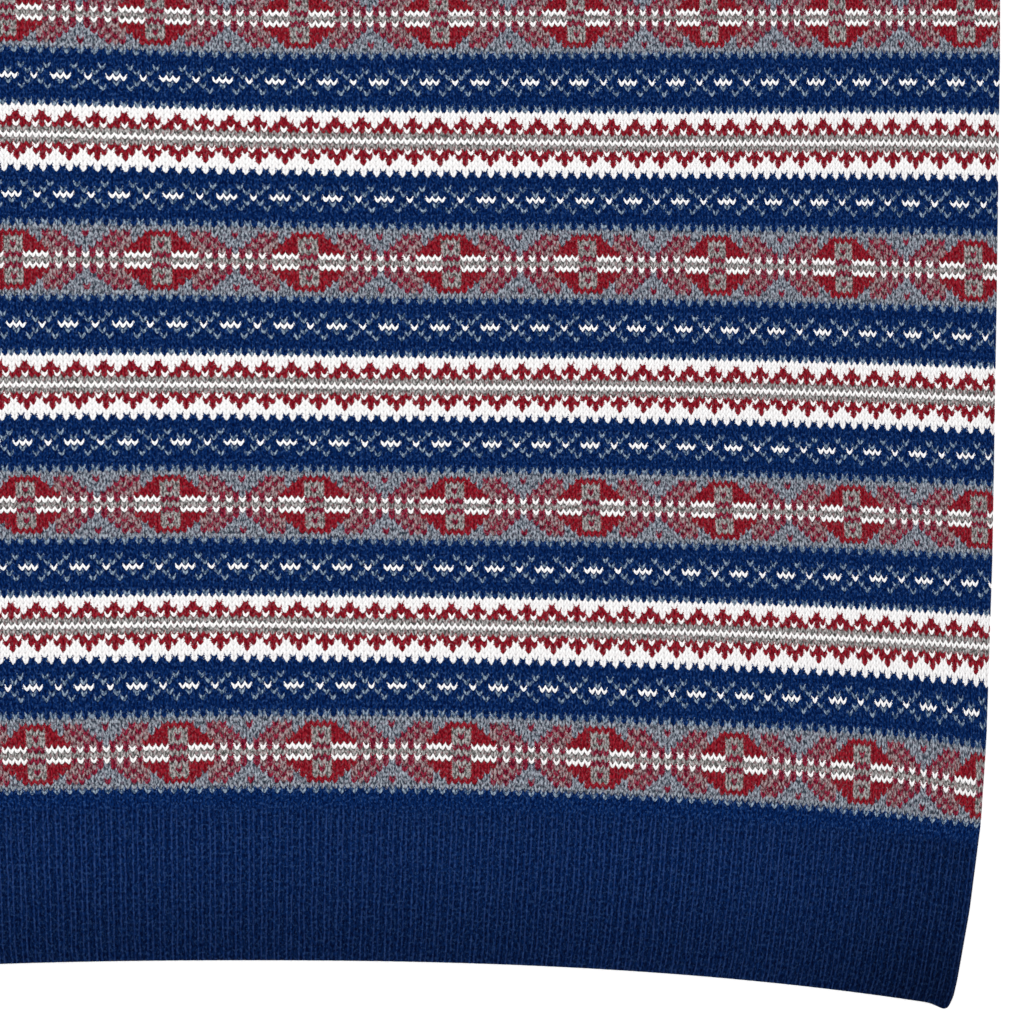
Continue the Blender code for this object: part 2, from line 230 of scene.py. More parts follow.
class Wall:
    """A piece of cloth, made as sheets of points that carry their stitch numbers."""

    def __init__(self):
        self.mesh = bmesh.new()
        self.knit = self.mesh.verts.layers.float_vector.new("knit")

    def sheet(self, points, stitches, closed=False, material=0):
        """Faces over a grid of points. Returns the grid of vertices."""
        grid = [[self.mesh.verts.new(point) for point in line] for line in points.tolist()]
        for line, numbers in zip(grid, stitches.tolist()):
            for vertex, number in zip(line, numbers):
                vertex[self.knit] = number
        for one, other in zip(grid, grid[1:] + grid[:closed]):
            for k in range(len(one) - 1):
                face = self.mesh.faces.new((one[k], other[k], other[k + 1], one[k + 1]))
                face.material_index = material
        return grid

    def rim(self, over, under, skipped=()):
        """The edge between the right side and the inside."""
        for k in range(len(over) - 1):
            if k not in skipped:
                self.mesh.faces.new((over[k], over[k + 1], under[k + 1], under[k]))

    def finish(self, name, node, materials):
        """The piece as an object in the frame, in place of its solid."""
        bmesh.ops.remove_doubles(self.mesh, verts=self.mesh.verts, dist=2e-6)
        bmesh.ops.recalc_face_normals(self.mesh, faces=self.mesh.faces)
        bmesh.ops.translate(self.mesh, verts=self.mesh.verts, vec=(*HEM_CENTRE, 0.0))
        data = bpy.data.meshes.new(name)
        self.mesh.to_mesh(data)
        self.mesh.free()
        data.shade_smooth()
        data.set_sharp_from_angle(angle=math.radians(70))
        for material in materials:
            data.materials.append(material)
        piece = bpy.data.objects.new(name, data)
        bpy.context.scene.collection.objects.link(piece)
        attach(piece, "root")
        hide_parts(node)
        return piece


class Dye:
    """A value or colour on its way through a material's nodes. Sums on it add Math nodes."""

    def __init__(self, tree, socket=None):
        self.tree = tree
        self.socket = socket

    def node(self, kind, settings, inputs, output=0):
        """A new node: its settings first, then the values or links of its sockets."""
        made = self.tree.nodes.new(kind)
        for name, value in settings.items():
            if name == "stops":
                ramp = made.color_ramp
                ramp.interpolation = "CONSTANT"
                ramp.elements.remove(ramp.elements[1])
                ramp.elements[0].position, ramp.elements[0].color = value[0]
                for place, colour in value[1:]:
                    ramp.elements.new(place).color = colour
            else:
                setattr(made, name, value)
        for key, value in inputs.items():
            if isinstance(value, Dye):
                self.tree.links.new(value.socket, made.inputs[key])
            else:
                made.inputs[key].default_value = value
        return Dye(self.tree, made.outputs[output])

    def into(self, socket):
        self.tree.links.new(self.socket, socket)

    def math(self, operation, *others):
        inputs = dict(enumerate((self, *others)))
        return self.node("ShaderNodeMath", {"operation": operation}, inputs)

    def __add__(self, other):
        return self.math("ADD", other)

    def __sub__(self, other):
        return self.math("SUBTRACT", other)

    def __rsub__(self, other):
        return self * -1.0 + other

    def __mul__(self, other):
        return self.math("MULTIPLY", other)

    def __truediv__(self, other):
        return self.math("DIVIDE", other)

    def __lt__(self, other):
        return self.math("LESS_THAN", other)

    def __gt__(self, other):
        return self.math("GREATER_THAN", other)

    __radd__ = __add__
    __rmul__ = __mul__

    def tent(self):
        """1 at every whole number, and straight down to 0 halfway to the next."""
        return (self.math("FRACT") - 0.5).math("ABSOLUTE") * 2.0

    def arch(self):
        """0 at every whole number, and round up to 1 halfway to the next."""
        return (self.math("FRACT") * math.pi).math("SINE")

    def smooth(self, low, high):
        """0 at low, 1 at high, and an even ramp between."""
        ends = {0: self, 1: low, 2: high}
        return self.node("ShaderNodeMapRange", {"interpolation_type": "SMOOTHSTEP"}, ends)

    def blend(self, one, other):
        """A colour between two, with this share of the other."""
        return self.node("ShaderNodeMix", {"data_type": "RGBA"}, {0: self, 6: one, 7: other}, 2)

    def times(self, value):
        """This colour or vector times a number, or times a vector, axis by axis."""
        if isinstance(value, tuple):
            return self.node("ShaderNodeVectorMath", {"operation": "MULTIPLY"}, {0: self, 1: value})
        return self.node("ShaderNodeVectorMath", {"operation": "SCALE"}, {0: self, 3: value})


STUDIO_LIGHT = 1.28  # how much the lights brighten what lies on the floor


def seen(red, green, blue):
    """The colour of wool that looks like this on screen, 0 to 255, under the studio lights."""
    shown = [value / 255 for value in (red, green, blue)]
    scene_values = [v / 12.92 if v < 0.0405 else ((v + 0.055) / 1.055) ** 2.4 for v in shown]
    return (*(value / STUDIO_LIGHT for value in scene_values), 1.0)


# Each yarn is spun from wools of three colours: n navy, h pale heather, b blue grey, g grey,
# p rose and grey mixed, m plum, r crimson, w white
YARNS = "nhbgpmrw"
Yarn = namedtuple("Yarn", "dark light fleck")
DYED = {
    "n": Yarn(seen(0, 18, 62), seen(10, 44, 100), seen(44, 76, 130)),
    "h": Yarn(seen(48, 74, 104), seen(156, 174, 192), seen(34, 60, 104)),
    "b": Yarn(seen(54, 64, 77), seen(172, 180, 192), seen(116, 106, 120)),
    "g": Yarn(seen(76, 76, 74), seen(190, 187, 186), seen(154, 116, 121)),
    "p": Yarn(seen(84, 44, 52), seen(178, 160, 161), seen(150, 76, 90)),
    "m": Yarn(seen(84, 10, 32), seen(152, 40, 64), seen(150, 100, 112)),
    "r": Yarn(seen(108, 8, 22), seen(156, 32, 46), seen(136, 72, 80)),
    "w": Yarn(seen(246, 243, 243), seen(255, 255, 255), seen(250, 246, 246)),
}
WHITE_TO_GREY = 4.0  # yarns apart
ONLY_WHITE = 0.8  # of the other yarns, none has so great a share
REPEAT = 46.0  # rows
# The middle row of each band in a repeat, and how many rows it reaches above and below that
ROUNDS_AT, ROUNDS_REACH = 7.0, 7.5
WHITE_AT, WHITE_REACH = 30.0, 6.5
SPECKS_AT, SPECKS_REACH = (19.0, 41.0), 2.5
# The charts, each a line of cells from the middle of a motif out to half its repeat
ROUND_AND_CROSS = (  # rows 0 to 7 and back again, from the middle of the round out to the cross
    "nhnhnhnhnhnh",
    "bbbbbbbbbbbb",
    "rrrbbmpmbbbm",
    "ggrrbpmpmbbb",
    "mgrrrppmpmbb",
    "ggrrrrppmpmb",
    "mmwwwwmwmwmw",
    "gggggggggggg",
)
WHITE_BAND = (  # from its middle row out. The last two are the toothed rows below and above it
    "wwwww",
    "ggggg",
    "wrrwr",
    "rrwrr",
    "rwwwr",
    "wwwww",
    "wnwnw",
    "hnhnh",
)
SPECKS = ("wwnnw", "hnnhn", "nnhnn")  # from the middle row out
HALF_CHART = 4  # lines of the round and cross, because one ramp can't hold them all
RISE = 0.70  # how far a stitch's legs climb from its foot to its shoulders, in rows


def charted(chart, cell, line):
    """The yarn of a cell, as a share of the yarns, from lines of a chart put end to end."""
    text = "".join(chart)
    stops = [
        (k / len(text), (YARNS.index(letter) / len(YARNS),) * 3 + (1.0,))
        for k, letter in enumerate(text)
        if k == 0 or letter != text[k - 1]
    ]
    place = (line * len(chart[0]) + cell + 0.5) * (1 / len(text))
    return cell.node("ShaderNodeValToRGB", {"stops": stops}, {0: place})


def yarn_of(column, row, thick):
    """Which yarn a stitch is knitted in, as a share of the yarns. A pale stitch among dark ones sinks
    between them, and shows only where it is thick."""
    thin = 1.0 - thick
    line = row.math("FLOORED_MODULO", REPEAT)
    half_round, half_tooth = len(ROUND_AND_CROSS[0]) - 1.0, len(WHITE_BAND[0]) - 1.0
    cell = (column + half_round).math("PINGPONG", half_round)
    from_edge = ROUNDS_AT - (line - ROUNDS_AT).math("ABSOLUTE")
    inner = from_edge > HALF_CHART - 0.5
    outer_line = from_edge.math("MINIMUM", HALF_CHART - 1.0)
    inner_line = (from_edge - float(HALF_CHART)).math("MAXIMUM", 0.0)
    rounds = charted(ROUND_AND_CROSS[:HALF_CHART], cell, outer_line) * (1.0 - inner)
    rounds = rounds + charted(ROUND_AND_CROSS[HALF_CHART:], cell, inner_line) * inner
    rounds = rounds - (rounds > ONLY_WHITE) * thin * (WHITE_TO_GREY / len(YARNS))
    from_middle = (line - WHITE_AT).math("ABSOLUTE") + (line > WHITE_AT + WHITE_REACH - 1.0)
    tooth = column.math("PINGPONG", half_tooth)
    white = charted(WHITE_BAND, tooth, from_middle.math("MINIMUM", len(WHITE_BAND) - 1.0))
    sunk = (from_middle < 0.5) * WHITE_TO_GREY + (from_middle > 1.5) * (from_middle < 2.5)
    white = white - (white > ONLY_WHITE) * thin * sunk * (1 / len(YARNS))
    low, high = ((line - middle).math("ABSOLUTE") for middle in SPECKS_AT)
    away = low.math("MINIMUM", high)
    speck = (column + 1.0).math("PINGPONG", half_tooth)
    specks = charted(SPECKS, speck, away.math("MINIMUM", len(SPECKS) - 1.0)) * thick
    in_white = (line > WHITE_AT - WHITE_REACH) * (line < WHITE_AT + WHITE_REACH)
    banded = rounds * (line < ROUNDS_AT + ROUNDS_REACH) + white * in_white
    banded = banded + specks * (away < SPECKS_REACH)
    return banded * (row > 0.5).math("MAXIMUM", (row > -0.5) * thick)


def fibres(knit, size, detail, spread=(1.0, 1.0, 1.0)):
    """Uneven fibres, about a half, with so many lumps to a stitch."""
    inputs = {"Vector": knit.times(spread), "Scale": size, "Detail": detail, "Roughness": 0.6}
    return knit.node("ShaderNodeTexNoise", {"noise_dimensions": "2D"}, inputs)


def heathered(knit, dark, light, fleck):
    """Wool of three colours, in short strands that run up and down."""
    strands = fibres(knit, 1.0, 2.0, (3.1, 1.3, 1.0)).smooth(0.36, 0.64)
    flecks = fibres(knit, 1.0, 1.0, (2.2, 1.7, 1.0)).smooth(0.56, 0.68) * 0.7
    return flecks.blend(strands.blend(dark, light), fleck)


def spun(yarn, knit):
    """The colour of the wool at a point of a yarn, which is given as a share of the yarns."""
    tones = []
    for tone in range(3):
        stops = [(k / len(YARNS), DYED[name][tone]) for k, name in enumerate(YARNS)]
        tones.append(yarn.node("ShaderNodeValToRGB", {"stops": stops}, {0: yarn + 0.06}))
    return heathered(knit, *tones)


def knit_material(name):
    """A matt woollen material: its shader, and the stitch numbers at a point of the cloth."""
    material = bpy.data.materials.new(name)
    material.use_nodes = True
    shader = material.node_tree.nodes["Principled BSDF"]
    shader.inputs["Roughness"].default_value = 0.95
    shader.inputs["Specular IOR Level"].default_value = 0.01
    shader.inputs["Sheen Weight"].default_value = 0.005
    shader.inputs["Sheen Roughness"].default_value = 0.6
    start = Dye(material.node_tree)
    knit = start.node("ShaderNodeAttribute", {"attribute_name": "knit"}, {}, "Vector")
    parts = [knit.node("ShaderNodeSeparateXYZ", {}, {0: knit}, axis) for axis in range(3)]
    return material, shader, knit, *parts


def standing(from_foot, leg):
    """How far the two legs of a V stand out: most at their middle, and least in the groove between
    them. from_foot is 0 where they meet and 1 where they part from the next stitch."""
    apart = 0.3 + from_foot.smooth(0.0, 0.35) * (0.7 - from_foot.smooth(0.7, 1.0) * 0.4)
    return (0.35 + leg * 0.65) * apart


STITCH_DEPTH = 0.0006


def bumped(height, shader, depth):
    inputs = {"Strength": 0.7, "Distance": depth, "Height": height}
    height.node("ShaderNodeBump", {}, inputs).into(shader.inputs["Normal"])


def stranded_wool():
    """The right side: V stitches in two yarns a row, with painted shade in the groove between their
    legs.
    """
    material, shader, knit, across, up, _ = knit_material("stranded_wool")
    shaken = fibres(knit, 1.3, 1.0) - 0.5
    frayed = fibres(knit, 5.5, 1.0) - 0.5
    wale = across + 0.5 + shaken * 0.12
    from_foot = wale.tent()
    climb = up - (from_foot * (0.4 + from_foot * 0.6) - 0.4) * RISE + shaken * 0.4
    column = (wale + frayed * 0.7).math("FLOOR")
    row = (climb + frayed * 0.6).math("FLOOR")
    leg = climb.arch()
    depth = standing(from_foot, leg)
    yarn = yarn_of(column, row, leg > 0.45)
    # Painted shade: the colour darkens in the groove between a stitch's legs, less on white, and in the
    # eye where stitches meet
    eye_shade = (1.0 - from_foot.smooth(0.05, 0.4)) * (1.0 - leg.smooth(0.1, 0.6))
    crease_shade = (1.0 - depth) * (0.46 - (yarn > ONLY_WHITE) * 0.28) + eye_shade * 0.32
    spun(yarn, knit).times(1.08 - crease_shade).into(shader.inputs["Base Color"])
    bumped(depth, shader, STITCH_DEPTH)
    return material


CARRIED = 5.0  # stitches that a strand is carried past


def stranded_inside():
    """The wrong side: purl bumps, crossed by the strands of the yarn that each stitch leaves idle."""
    material, shader, knit, across, up, _ = knit_material("stranded_inside")
    shaken = fibres(knit, 1.3, 1.0) - 0.5
    rows = up + shaken * 0.3
    row = rows.math("FLOOR")
    within = rows - row
    strand = within > 0.5
    run = ((across + 2.0) * (1 / CARRIED)).math("FLOOR") * CARRIED
    column = (across + 0.5).math("FLOOR") * (1.0 - strand) + run * strand
    wave = ((across + strand * 0.5) * math.pi).math("SINE").math("ABSOLUTE")
    ridge = (within * 2.0).arch() * (0.6 + wave * 0.4)
    # Painted shade between the rows of purl bumps: the colour darkens away from each ridge
    spun(yarn_of(column, row, 1.0), knit).times(0.5 + ridge * 0.5).into(shader.inputs["Base Color"])
    bumped(ridge, shader, STITCH_DEPTH)
    return material


PANEL_WOOL = (stranded_wool(), stranded_inside())
EVEN_SHARES = np.linspace(0, 1, 61)[:-1]


def panel(name, node, yoke, shares, under, face, bend=None):
    """A front or back. Its inside is flat at `under`, and its right side is a wall away from that."""
    body_marks = np.arange(0, len(BODY_ROWS) - 1, 1 / BODY_LINES)
    yoke_marks = np.arange(0, len(yoke) - 1 - BEFORE_TURN, 1 / YOKE_LINES)
    turned = len(yoke) - 1 - FOLD_REACH / YOKE_STEP * (1 - TURN)
    rows = np.concatenate([
        on_curve(BODY_ROWS, body_marks), on_curve(yoke, yoke_marks), on_curve(yoke, turned)
    ])
    start, run = rows[:, None, :2], rows[:, None, 2:] - rows[:, None, :2]
    width = np.linalg.norm(run, axis=2)
    flat = 1 - FOLD_REACH / width
    shares = np.concatenate([shares * flat, 1 - (1 - TURN) * FOLD_REACH / width], 1)
    half = start + run * shares[..., None]
    if bend:
        half[..., 1] += bend(half[..., 0], rows[:, 1, None])
    on_side = np.where(rows[:, None, 3] <= UNDERARM, (1 - shares) * width, 1.0)
    to_shoulder = (np.array((NECK_HALF, NECK_POINT)) - half) @ SHOULDER_OUT
    fold = rounded(np.minimum(on_side, to_shoulder), FOLD_REACH)
    open_rows = np.flatnonzero(rows[:, 0] > 0)  # beside the V
    joined = range(open_rows[0] if len(open_rows) else len(rows))
    wall = Wall()
    for side in (1, -1):
        cut = half * (side, 1)
        out = FOLD_HEIGHT + face * FOLD_REACH * fold
        out = np.maximum(out, under) if face > 0 else np.minimum(out, under)
        waves = lift(cut) if face > 0 else 0.0
        stitches = stitches_at(cut)
        over = wall.sheet(raised(lay(cut), out + waves), stitches)
        inner = wall.sheet(raised(lay(cut), under + waves), stitches, material=1)
        wall.rim(over[0], inner[0])
        wall.rim(over[-1], inner[-1])
        wall.rim([line[-1] for line in over], [line[-1] for line in inner])
        wall.rim([line[0] for line in over], [line[0] for line in inner], joined)
    return wall.finish(name, node, PANEL_WOOL)


front = panel("front_panel", "front_body", FRONT_YOKE, EVEN_SHARES, FRONT_UNDER, 1)


# ---- Back panel -----------------------------------------------------------------------------------
# The back is knitted like the front, in the same bands, up to a shallow curved neck. It lies right
# side down, so its wrong side, with the strands carried behind the pattern, shows through the V.

BACK_NECK = 0.645


def back_neck(x):
    """The height of the back neck edge: flat at the centre, upright at the neck point."""
    return BACK_NECK + (NECK_POINT - BACK_NECK) * (1 - np.sqrt(1 - np.minimum(x / NECK_HALF, 1) ** 3))


def neck_bend(x, inner_y):
    """How far the back's rows depart from straight, more and more up to the back neck edge."""
    rise = np.maximum(inner_y - V_POINT, 0) / (BACK_NECK - V_POINT)
    slope = (SHOULDER_TIP - BACK_NECK) / SHOULDER_HALF
    shoulder = NECK_POINT + (x - NECK_HALF) * TO_NECK[1] / TO_NECK[0]
    top = np.where(x < NECK_HALF, back_neck(x), shoulder)
    return (top - BACK_NECK - slope * x) * rise**3


NECK_COLUMNS = NECK_HALF * np.sin(np.radians(np.arange(0, 91, 5)))
back_yoke = [
    row._replace(inner_x=0.0, inner_y=V_POINT + (BACK_NECK - V_POINT) * k / (len(FRONT_YOKE) - 1))
    for k, row in enumerate(FRONT_YOKE)
]
back_shares = np.union1d(
    NECK_COLUMNS / SHOULDER_HALF, EVEN_SHARES[EVEN_SHARES > NECK_HALF / SHOULDER_HALF + 0.01]
)
back = panel("back_panel", "back_body", back_yoke, back_shares, BACK_TOP, -1, neck_bend)


# ---- Hem ribs -------------------------------------------------------------------------------------
# Below each panel the navy yarn goes on, for a few plain rows and then as a deep 1x1 rib that ends
# in a firm cast-on edge. The rib draws in, so the vest is narrower here than at the chest.

RIB_PITCH = 0.00426
RIB_GROOVE = 0.0005
RIB_PROUD = 0.0002
GROOVE_START, GROOVE_END = 0.25, 0.22  # how far a wale's side reaches in and out, of half a rib
HEM_LINES = 34
HEM_TURN_START = 0.0012
HEM_CORNER = 0.0042
SEAM_PULL, SEAM_REACH = 0.0017, 0.011  # the side seams draw the cast-on edge down beside them
PLAIN_ROWS = (0.000, 0.005)  # the ribs sink in between these distances below the pattern
KNIT_SHARE, DRAWN_IN = 0.5, 0.26  # how much of the cloth the knit wales take, and more in a rib
# Painted highlight for the crests of the rib's knit wales, partly carried by the heather's lighter
# strands
RIB_CREST_HIGHLIGHT = seen(48, 70, 121)
RIB_STITCH_DEPTH = 0.0005
CAST_ON = -0.0007  # how far the cast-on edge sags past the foot of the cut


def wale_height(across, ribbed):
    """1 on a knit wale and 0 in the purl groove beside it. Even stitch numbers are knit."""
    from_knit = np.abs((across / 2 + 0.5) % 1 - 0.5) * 2
    share = KNIT_SHARE + DRAWN_IN * ribbed
    return 1 - smooth(from_knit, share - GROOVE_START, share + GROOVE_END) * ribbed


def navy_rib():
    """Navy rib: V stitches on the knit wales with a painted highlight on their crests, and purl bumps in
    painted shade between them.
    """
    material, shader, knit, across, up, ribbed = knit_material("navy_rib")
    shaken = fibres(knit, 1.1, 1.0) - 0.5
    waver = fibres(knit, 0.4, 1.0, (1.0, 0.4, 1.0)) - 0.5
    from_knit = (across * 0.5 + 0.5 + waver * 0.18).tent()
    share = KNIT_SHARE + ribbed * DRAWN_IN
    on_knit = from_knit < share
    from_foot = on_knit * (from_knit / share) + (1.0 - on_knit) * ((1.0 - from_knit) / (1.0 - share))
    climb = up - (from_foot - 0.5) * RISE + shaken * 0.4
    depth = standing(from_foot, climb.arch())
    crest = from_foot.smooth(0.2, 0.5) * (1.0 - from_foot.smooth(0.5, 0.8)) * on_knit
    crest = (crest + (1.0 - from_foot.smooth(0.0, 0.6)) * (1.0 - on_knit) * 0.35) * ribbed
    strands = fibres(knit, 1.0, 2.0, (2.6, 0.6, 1.0)).smooth(0.32, 0.68)
    # The crests take the painted highlight colour, more where the lighter strands of the heather run
    wool = (crest * (0.1 + strands * 0.55)).blend(heathered(knit, *DYED["n"]), RIB_CREST_HIGHLIGHT)
    stray = (fibres(knit, 0.55, 2.0, (1.0, 0.45, 1.0)) - 0.5).math("ABSOLUTE")
    patch = fibres(knit, 0.21, 0.0).smooth(0.5, 0.62)
    wool = ((1.0 - stray.smooth(0.0, 0.012)) * patch * 0.35).blend(wool, DYED["n"].fleck)
    # Painted shade: the rib darkens towards the cast-on edge and towards the side folds, where it curves
    # down to the floor
    at_side = across.math("ABSOLUTE").smooth(84.0, 118.0) * (up < 0.0)
    edge_shade = (0.1 - up).smooth(8.0, 32.0) * 0.33 + at_side * 0.26
    # Painted shade in the grooves between the legs and in the purl grooves between the wales, less on
    # the crests
    crease_shade = (1.0 - depth) * (0.46 - ribbed * 0.32)
    wool.times((1.08 - crease_shade - ribbed * (0.36 - crest * 0.32)) * (1.0 - edge_shade * ribbed)).into(
        shader.inputs["Base Color"]
    )
    bumped(depth, shader, RIB_STITCH_DEPTH)
    return material


RIB_WOOL = navy_rib()


def hem(name, node, under, face, steps, proud):
    """A front or back rib, a rib to every two stitches and so many mesh columns to a rib."""
    across = np.linspace(-STITCHES_HALF, STITCHES_HALF, STITCHES_HALF * steps + 1)[None, :]
    turned = WALL / 2 * (1 - TURN[1:])
    rows = np.concatenate([np.linspace(RIB_TOP, HEM_TURN_START, HEM_LINES), turned])
    rows += CAST_ON * (1 - rows / RIB_TOP)
    x = across / STITCHES_HALF * CHEST_HALF
    inward = CHEST_HALF - np.abs(x)
    corner = HEM_CORNER * (1 - rounded(inward, HEM_CORNER)) - SEAM_PULL * smooth(1 - inward / SEAM_REACH)
    y = rows[:, None] + corner * (1 - rows[:, None] / RIB_TOP)
    ribbed = smooth(RIB_TOP - rows, *PLAIN_ROWS)[:, None]
    stands = proud * ribbed - RIB_GROOVE * (1 - wale_height(across, ribbed))
    fold = rounded(inward, FOLD_REACH)
    out = FOLD_HEIGHT + face * (FOLD_REACH + stands) * fold
    out = np.maximum(out, under) if face > 0 else np.minimum(out, under)
    middle = (out + under) / 2
    full = rounded(rows - CAST_ON, WALL / 2)[:, None]
    cut = np.stack(np.broadcast_arrays(x, y), -1)
    plan, stitches = lay(cut), stitches_at(cut, ribbed)
    wall = Wall()
    over = wall.sheet(raised(plan, middle + (out - middle) * full), stitches)
    inner = wall.sheet(raised(plan, middle + (under - middle) * full), stitches)
    wall.rim(over[0], inner[0])
    return wall.finish(name, node, [RIB_WOOL])


front_hem = hem("front_hem", "front_hem_rib", FRONT_UNDER, 1, 8, RIB_PROUD)
back_hem = hem("back_hem", "back_hem_rib", BACK_TOP, -1, 6, 0.0)


# ---- Neckband -------------------------------------------------------------------------------------
# A ring of the same 1x1 rib is linked to the neck edge, with its ribs mitred where they meet at the
# point of the V. It folds over at the shoulders with the panels, and its back part lies in the back.

NECKBAND = 0.025
STITCH_GAP = 0.0002
HAIR = 1e-5  # keeps the first line of the mitre from having no length
BAND_STEPS = 6  # mesh columns to a rib
BAND_ROW = 0.0018
LOOK_AHEAD = 0.008  # how far along an edge its direction is read
SEAM_DIP, SEAM_DIP_REACH = 0.35, 0.0012  # the band is thinner beside its seam
INNER_GROOVE = 0.6  # of the outer grooves' depth
SHOULDER_BLEND = 0.04
BAND_SHARES = np.linspace(0, 1, 9)
EDGE_POINTS = 65
FOLD_TURNS = np.arange(1, 8) * 22.5  # degrees, round a fold
# A line across a band: its sewn and free ends on the cut, how far round a fold it is (90 on the front
# layer, -90 on the back), the way out of that fold, whether it ends in the mitre, and its rib
Station = namedtuple("Station", "sewn free turn out mitred rib")


def points_along(points, count, start=0.0, end=0.0):
    """Evenly spaced points on a run of straight chords, and its direction at each."""
    reach = np.concatenate([[0], np.cumsum(np.linalg.norm(np.diff(points, axis=0), axis=1))])

    def at(distance):
        return np.array([np.interp(distance, reach, points[:, axis]) for axis in (0, 1)])

    for distance in np.linspace(start, reach[-1] - end, count + 1):
        ahead = at(distance + LOOK_AHEAD) - at(distance - LOOK_AHEAD)
        yield at(distance), ahead / np.linalg.norm(ahead)


def ribs_in(points):
    return round(np.linalg.norm(np.diff(points, axis=0), axis=1).sum() / RIB_PITCH)


def across_band(ahead, shoulder, from_shoulder):
    """The way across a band, square to its edge, and turned into line with the shoulder beside that."""
    share = smooth(1 - from_shoulder / SHOULDER_BLEND)
    out = np.array((-ahead[1], ahead[0])) * (1 - share) + shoulder * share
    return out / np.linalg.norm(out)


def fold_over(station, out):
    """Stations round a fold, from the front layer to the back layer, in line with the last."""
    return [station._replace(turn=90 - turn, out=out) for turn in FOLD_TURNS]


def mirrored(station):
    flip = np.array((-1.0, 1.0))
    return station._replace(
        sewn=station.sewn * flip, free=station.free * flip, out=station.out * flip
    )


def band(name, node, stations):
    """A ribbed ring of cloth through its stations, each a line from the sewn to the free edge."""
    sewn, free, out = (np.array([getattr(s, key) for s in stations]) for key in ("sewn", "free", "out"))
    turn = np.radians([station.turn for station in stations])
    whole = np.array([station.mitred for station in stations])[:, None]
    ribs = np.array([station.rib for station in stations])[:, None]
    width = np.linalg.norm(free - sewn, axis=1)[:, None]
    edge = np.minimum(WALL / 2 / width, 0.4)
    shares = np.concatenate([BAND_SHARES * (1 - edge), 1 - (1 - TURN[1:]) * edge], 1)
    plan = lay(sewn)[:, None] * (1 - shares[..., None]) + lay(free)[:, None] * shares[..., None]
    leans = out * np.cos(turn)[:, None]
    rises = np.sin(turn)
    middle = raised(plan + leans[:, None] * FOLD_RADIUS, (FOLD_HEIGHT + rises * FOLD_RADIUS)[:, None])
    normal = raised(leans, rises)[:, None]
    edge = np.where(whole, 1.0, rounded((1 - shares) * width, WALL / 2))
    seam = 1 - SEAM_DIP * (1 - smooth(shares * width, 0.0, SEAM_DIP_REACH))
    knit_out = wale_height(ribs * 2, 1.0)
    knit_in = wale_height(ribs * 2 + 1, 1.0)
    on_top = np.maximum(rises, 0)[:, None]
    above = WALL / 2 + (RIB_PROUD * on_top - RIB_GROOVE * (1 - knit_out)) * seam
    below = WALL / 2 - INNER_GROOVE * RIB_GROOVE * (1 - knit_in)
    stitches = np.stack(np.broadcast_arrays(ribs * 2, shares * width / BAND_ROW, 1.0), -1)
    inside = stitches + (1, 0, 0)
    wall = Wall()
    over = wall.sheet(middle + normal * (above * edge * seam)[..., None], stitches, closed=True)
    inner = wall.sheet(middle - normal * (below * edge)[..., None], inside, closed=True)
    over.append(over[0])
    inner.append(inner[0])
    wall.rim([line[0] for line in over], [line[0] for line in inner])
    return wall.finish(name, node, [RIB_WOOL])


def neckband_half():
    """Stations from the point of the V, up its right edge, over the shoulder and to the centre back."""
    up = np.array((0.0, 1.0))
    v_edge = on_curve(FRONT_YOKE, np.linspace(0, len(FRONT_YOKE) - 1, EDGE_POINTS))[:, :2]
    ribs = ribs_in(v_edge)
    count = ribs * BAND_STEPS
    stations = []
    for k, (point, ahead) in enumerate(points_along(v_edge, count, end=FOLD_REACH)):
        from_shoulder = (count - k) * RIB_PITCH / BAND_STEPS
        inward = across_band(ahead, TO_NECK, from_shoulder)
        sewn = point + inward * STITCH_GAP
        stations.append(Station(sewn, sewn + inward * NECKBAND, 90, up, False, k / BAND_STEPS))
    # Up to the top of the mitre the ribs of the two sides meet on the centre line
    mitre = next(k for k in range(count) if stations[k].free[0] > 0)
    low, top = stations[0].sewn[1] + STITCH_GAP, stations[mitre].free[1]
    for k in range(mitre + 1):
        sewn = np.array((max(stations[k].sewn[0], 0.0), stations[k].sewn[1] + STITCH_GAP * (k == 0)))
        free = np.array((0.0, low + HAIR + (top - low) * k / mitre))
        stations[k] = stations[k]._replace(sewn=sewn, free=free, mitred=True)
    stations += fold_over(stations[-1], SHOULDER_OUT)
    at_fold = stations[-1]

    edge = np.stack([NECK_COLUMNS, back_neck(NECK_COLUMNS)], 1)[::-1]
    centre = BACK_NECK + NECKBAND
    back_ribs = ribs_in(edge)
    for k, (point, _) in enumerate(points_along(edge, back_ribs * BAND_STEPS, start=FOLD_REACH)):
        left = 1 - k / (back_ribs * BAND_STEPS)
        free = np.array((at_fold.free[0] * left, centre + (at_fold.free[1] - centre) * left**2))
        sewn = point + (free - point) / np.linalg.norm(free - point) * STITCH_GAP
        stations.append(Station(sewn, free, -90, up, False, ribs + 1 + k / BAND_STEPS))
    return stations


right_half = neckband_half()
left_half = [mirrored(station) for station in right_half[-2:0:-1]]
neckband = band("neck_rib", "neckband", right_half + left_half)


# ---- Armhole bands --------------------------------------------------------------------------------
# A narrower ring of rib is linked round each armhole. It is folded at the shoulder and again at the
# top of the side seam, so half of it lies on the other half.

ARMBAND = 0.022


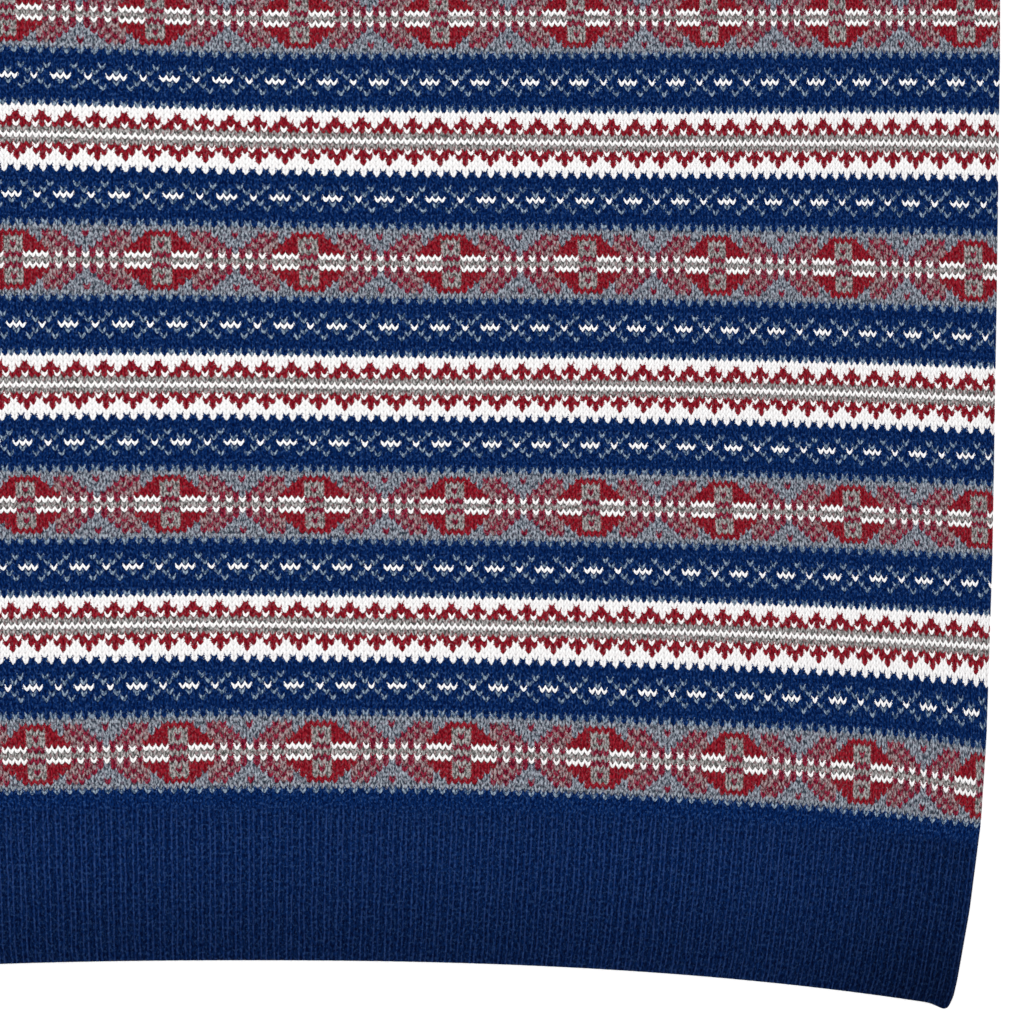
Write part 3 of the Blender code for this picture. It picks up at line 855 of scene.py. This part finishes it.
def armhole_band(side):
    """Stations down the front of one armhole, round the underarm fold, and up its back."""
    level = np.array((1.0, 0.0))
    edge = on_curve(FRONT_YOKE, np.linspace(0, len(FRONT_YOKE) - 1, EDGE_POINTS))[::-1, 2:]
    count = ribs_in(edge) * BAND_STEPS
    front_half = []
    for k, (point, ahead) in enumerate(points_along(edge, count, start=FOLD_REACH, end=FOLD_REACH)):
        from_shoulder = k * RIB_PITCH / BAND_STEPS
        outward = across_band(ahead, -TO_NECK, from_shoulder)
        sewn = point + outward * STITCH_GAP
        front_half.append(Station(sewn, sewn + outward * ARMBAND, 90, level, False, k / BAND_STEPS))
    stations = front_half + fold_over(front_half[-1], level)
    stations += [station._replace(turn=-90) for station in front_half[::-1]]
    stations += fold_over(front_half[0], SHOULDER_OUT)[::-1]
    return stations if side > 0 else [mirrored(station) for station in stations]


for side, name in ((1, "right"), (-1, "left")):
    armband = band(f"armhole_rib_{name}", f"armhole_band_{name}", armhole_band(side))


# ---- Floor, light and camera ----------------------------------------------------------------------
# A plain white floor under even studio light, seen from straight above, close over the lower right
# corner of the vest.

PIXEL = 0.00034  # of the picture, on the cloth
PICTURE = 1024
HEM_CENTRE_PIXEL = (250.0, 958.5)
CAMERA_HEIGHT = 1.7
SENSOR = 36.0  # mm

scene = bpy.context.scene
scene.view_settings.view_transform = "Standard"
bpy.ops.object.select_all(action="DESELECT")
bpy.ops.mesh.primitive_plane_add(size=6.0, location=(0.0, 0.0, 0.0))
floor = bpy.context.object
floor.name = "floor"
white_board = bpy.data.materials.new("white_board")
white_board.use_nodes = True
board = white_board.node_tree.nodes["Principled BSDF"]
board.inputs["Base Color"].default_value = (0.97, 0.97, 0.97, 1.0)
board.inputs["Roughness"].default_value = 0.9
board.inputs["Emission Color"].default_value = (1.0, 1.0, 1.0, 1.0)
board.inputs["Emission Strength"].default_value = 0.3
floor.data.materials.append(white_board)

world = bpy.data.worlds.new("studio")
world.use_nodes = True
world.node_tree.nodes["Background"].inputs["Color"].default_value = (1.0, 1.0, 1.0, 1.0)
world.node_tree.nodes["Background"].inputs["Strength"].default_value = 0.85
scene.world = world
bpy.ops.object.light_add(type="AREA", location=(-0.3, 0.3, 1.9))
lamp = bpy.context.object
lamp.data.size = 1.6
lamp.data.energy = 26.0
lamp.rotation_euler = (math.radians(-12), math.radians(-12), 0.0)

right, down = ((PICTURE / 2 - pixel) * PIXEL for pixel in HEM_CENTRE_PIXEL)
bpy.ops.object.camera_add(location=(HEM_CENTRE[0] + right, HEM_CENTRE[1] - down, CAMERA_HEIGHT))
camera = bpy.context.object
camera.data.sensor_width = SENSOR
camera.data.lens = SENSOR * (CAMERA_HEIGHT - FRONT_UNDER - WALL) / (PICTURE * PIXEL)
camera.data.clip_end = 20.0
scene.camera = camera
